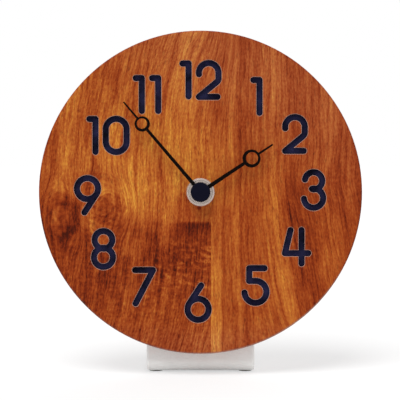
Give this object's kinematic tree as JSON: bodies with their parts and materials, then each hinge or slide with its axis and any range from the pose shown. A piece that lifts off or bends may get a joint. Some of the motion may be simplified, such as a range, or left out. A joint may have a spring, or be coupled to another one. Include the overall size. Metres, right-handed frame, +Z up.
{
  "type": "desk clock",
  "caption": "Round wooden desk clock with routed numerals, leaned back on a bent steel strap and driven by a battery quartz movement with a setting knob.",
  "frame": {"origin": "on the ground under the middle of the clock's bounding box", "axes": "+Z up, -Y out of the dial's front, +X to the right of someone who reads the dial"},
  "size_m": [0.165, 0.0802, 0.1758],
  "materials": {
    "wood": "satin",
    "numeral_paint": "matte",
    "hand_black": "satin",
    "cap_dark": "satin",
    "nut_steel": "satin",
    "screw_steel": "satin",
    "stand_paint": "satin",
    "pad_rubber": "matte",
    "stem_brass": "satin",
    "case_black": "matte",
    "gear_white": "satin",
    "magnet": "satin",
    "stator_iron": "satin",
    "bobbin_white": "satin",
    "winding_copper": "gloss",
    "board_green": "satin",
    "crystal_can": "polished",
    "chip_resin": "gloss",
    "contact_metal": "satin",
    "cell_can": "satin",
    "cell_sleeve": "gloss"
  },
  "bodies": {
    "root": {"dial_board_left": "wood", "dial_board_right": "wood", "numeral_paint": "numeral_paint", "stand": "stand_paint", "stand_pads": "pad_rubber", "stand_screws": "screw_steel", "gasket_washer": "pad_rubber", "stem_bushing": "stem_brass", "fixing_nut": "nut_steel", "case_front": "case_black", "case_lid": "case_black", "stator": "stator_iron", "coil_core": "stator_iron", "coil_bobbin": "bobbin_white", "coil_winding": "winding_copper", "stator_screws": "screw_steel", "train_bridge": "case_black", "bridge_screws": "screw_steel", "circuit_board": "board_green", "quartz_crystal": "crystal_can", "driver_chip": "chip_resin", "positive_contact": "contact_metal", "negative_contact": "contact_metal"},
    "minute": {"minute_arbor": "gear_white", "clutch_washer": "contact_metal", "minute_hand": "hand_black", "hand_cap": "cap_dark"},
    "hour": {"hour_wheel": "gear_white", "hour_hand_collet": "stem_brass", "hour_hand": "hand_black"},
    "minute_wheel": {"minute_wheel": "gear_white"},
    "setting": {"setting_arbor": "gear_white", "setting_knob": "case_black"},
    "rotor": {"rotor_arbor": "gear_white", "rotor_magnet": "magnet"},
    "fifth": {"fifth_wheel": "gear_white"},
    "fourth": {"fourth_wheel": "gear_white"},
    "third": {"third_wheel": "gear_white"},
    "centre": {"centre_wheel": "gear_white"},
    "battery": {"battery_cell": "cell_can", "battery_sleeve": "cell_sleeve"}
  },
  "joints": [
    {"name": "minute_spin", "type": "hinge", "parent": "root", "child": "minute", "pos_m": [0, -0.02142, 0.09289], "axis": [0, 0.9962, -0.0872], "continuous": true},
    {"name": "hour_spin", "type": "hinge", "parent": "root", "child": "hour", "pos_m": [0, -0.02142, 0.09289], "axis": [0, 0.9962, -0.0872], "continuous": true},
    {"name": "minute_wheel_spin", "type": "hinge", "parent": "root", "child": "minute_wheel", "pos_m": [-0.00945, -0.02127, 0.09455], "axis": [0, 0.9962, -0.0872], "continuous": true},
    {"name": "setting_spin", "type": "hinge", "parent": "root", "child": "setting", "pos_m": [-0.01777, -0.02086, 0.09933], "axis": [0, 0.9962, -0.0872], "continuous": true},
    {"name": "rotor_spin", "type": "hinge", "parent": "root", "child": "rotor", "pos_m": [0.01585, -0.02015, 0.10743], "axis": [0, 0.9962, -0.0872], "continuous": true},
    {"name": "fifth_spin", "type": "hinge", "parent": "root", "child": "fifth", "pos_m": [0.01682, -0.02063, 0.10193], "axis": [0, 0.9962, -0.0872], "continuous": true},
    {"name": "fourth_spin", "type": "hinge", "parent": "root", "child": "fourth", "pos_m": [0.01578, -0.02114, 0.09605], "axis": [0, 0.9962, -0.0872], "continuous": true},
    {"name": "third_spin", "type": "hinge", "parent": "root", "child": "third", "pos_m": [0.00694, -0.0207, 0.10113], "axis": [0, 0.9962, -0.0872], "continuous": true},
    {"name": "centre_spin", "type": "hinge", "parent": "root", "child": "centre", "pos_m": [0, -0.02142, 0.09289], "axis": [0, 0.9962, -0.0872], "continuous": true},
    {"name": "battery_slide", "type": "slide", "parent": "root", "child": "battery", "axis": [0, 0.9962, -0.0872], "range_m": [0, 0.02]}
  ],
  "couplings": [
    {"joint": "hour_spin", "follows": "minute_spin", "ratio": 0.083333},
    {"joint": "minute_wheel_spin", "follows": "minute_spin", "ratio": -0.33333},
    {"joint": "setting_spin", "follows": "minute_spin", "ratio": 1},
    {"joint": "fifth_spin", "follows": "rotor_spin", "ratio": -0.16667},
    {"joint": "fourth_spin", "follows": "rotor_spin", "ratio": 0.033333},
    {"joint": "third_spin", "follows": "rotor_spin", "ratio": -0.0044444},
    {"joint": "centre_spin", "follows": "rotor_spin", "ratio": 0.00055556}
  ]
}
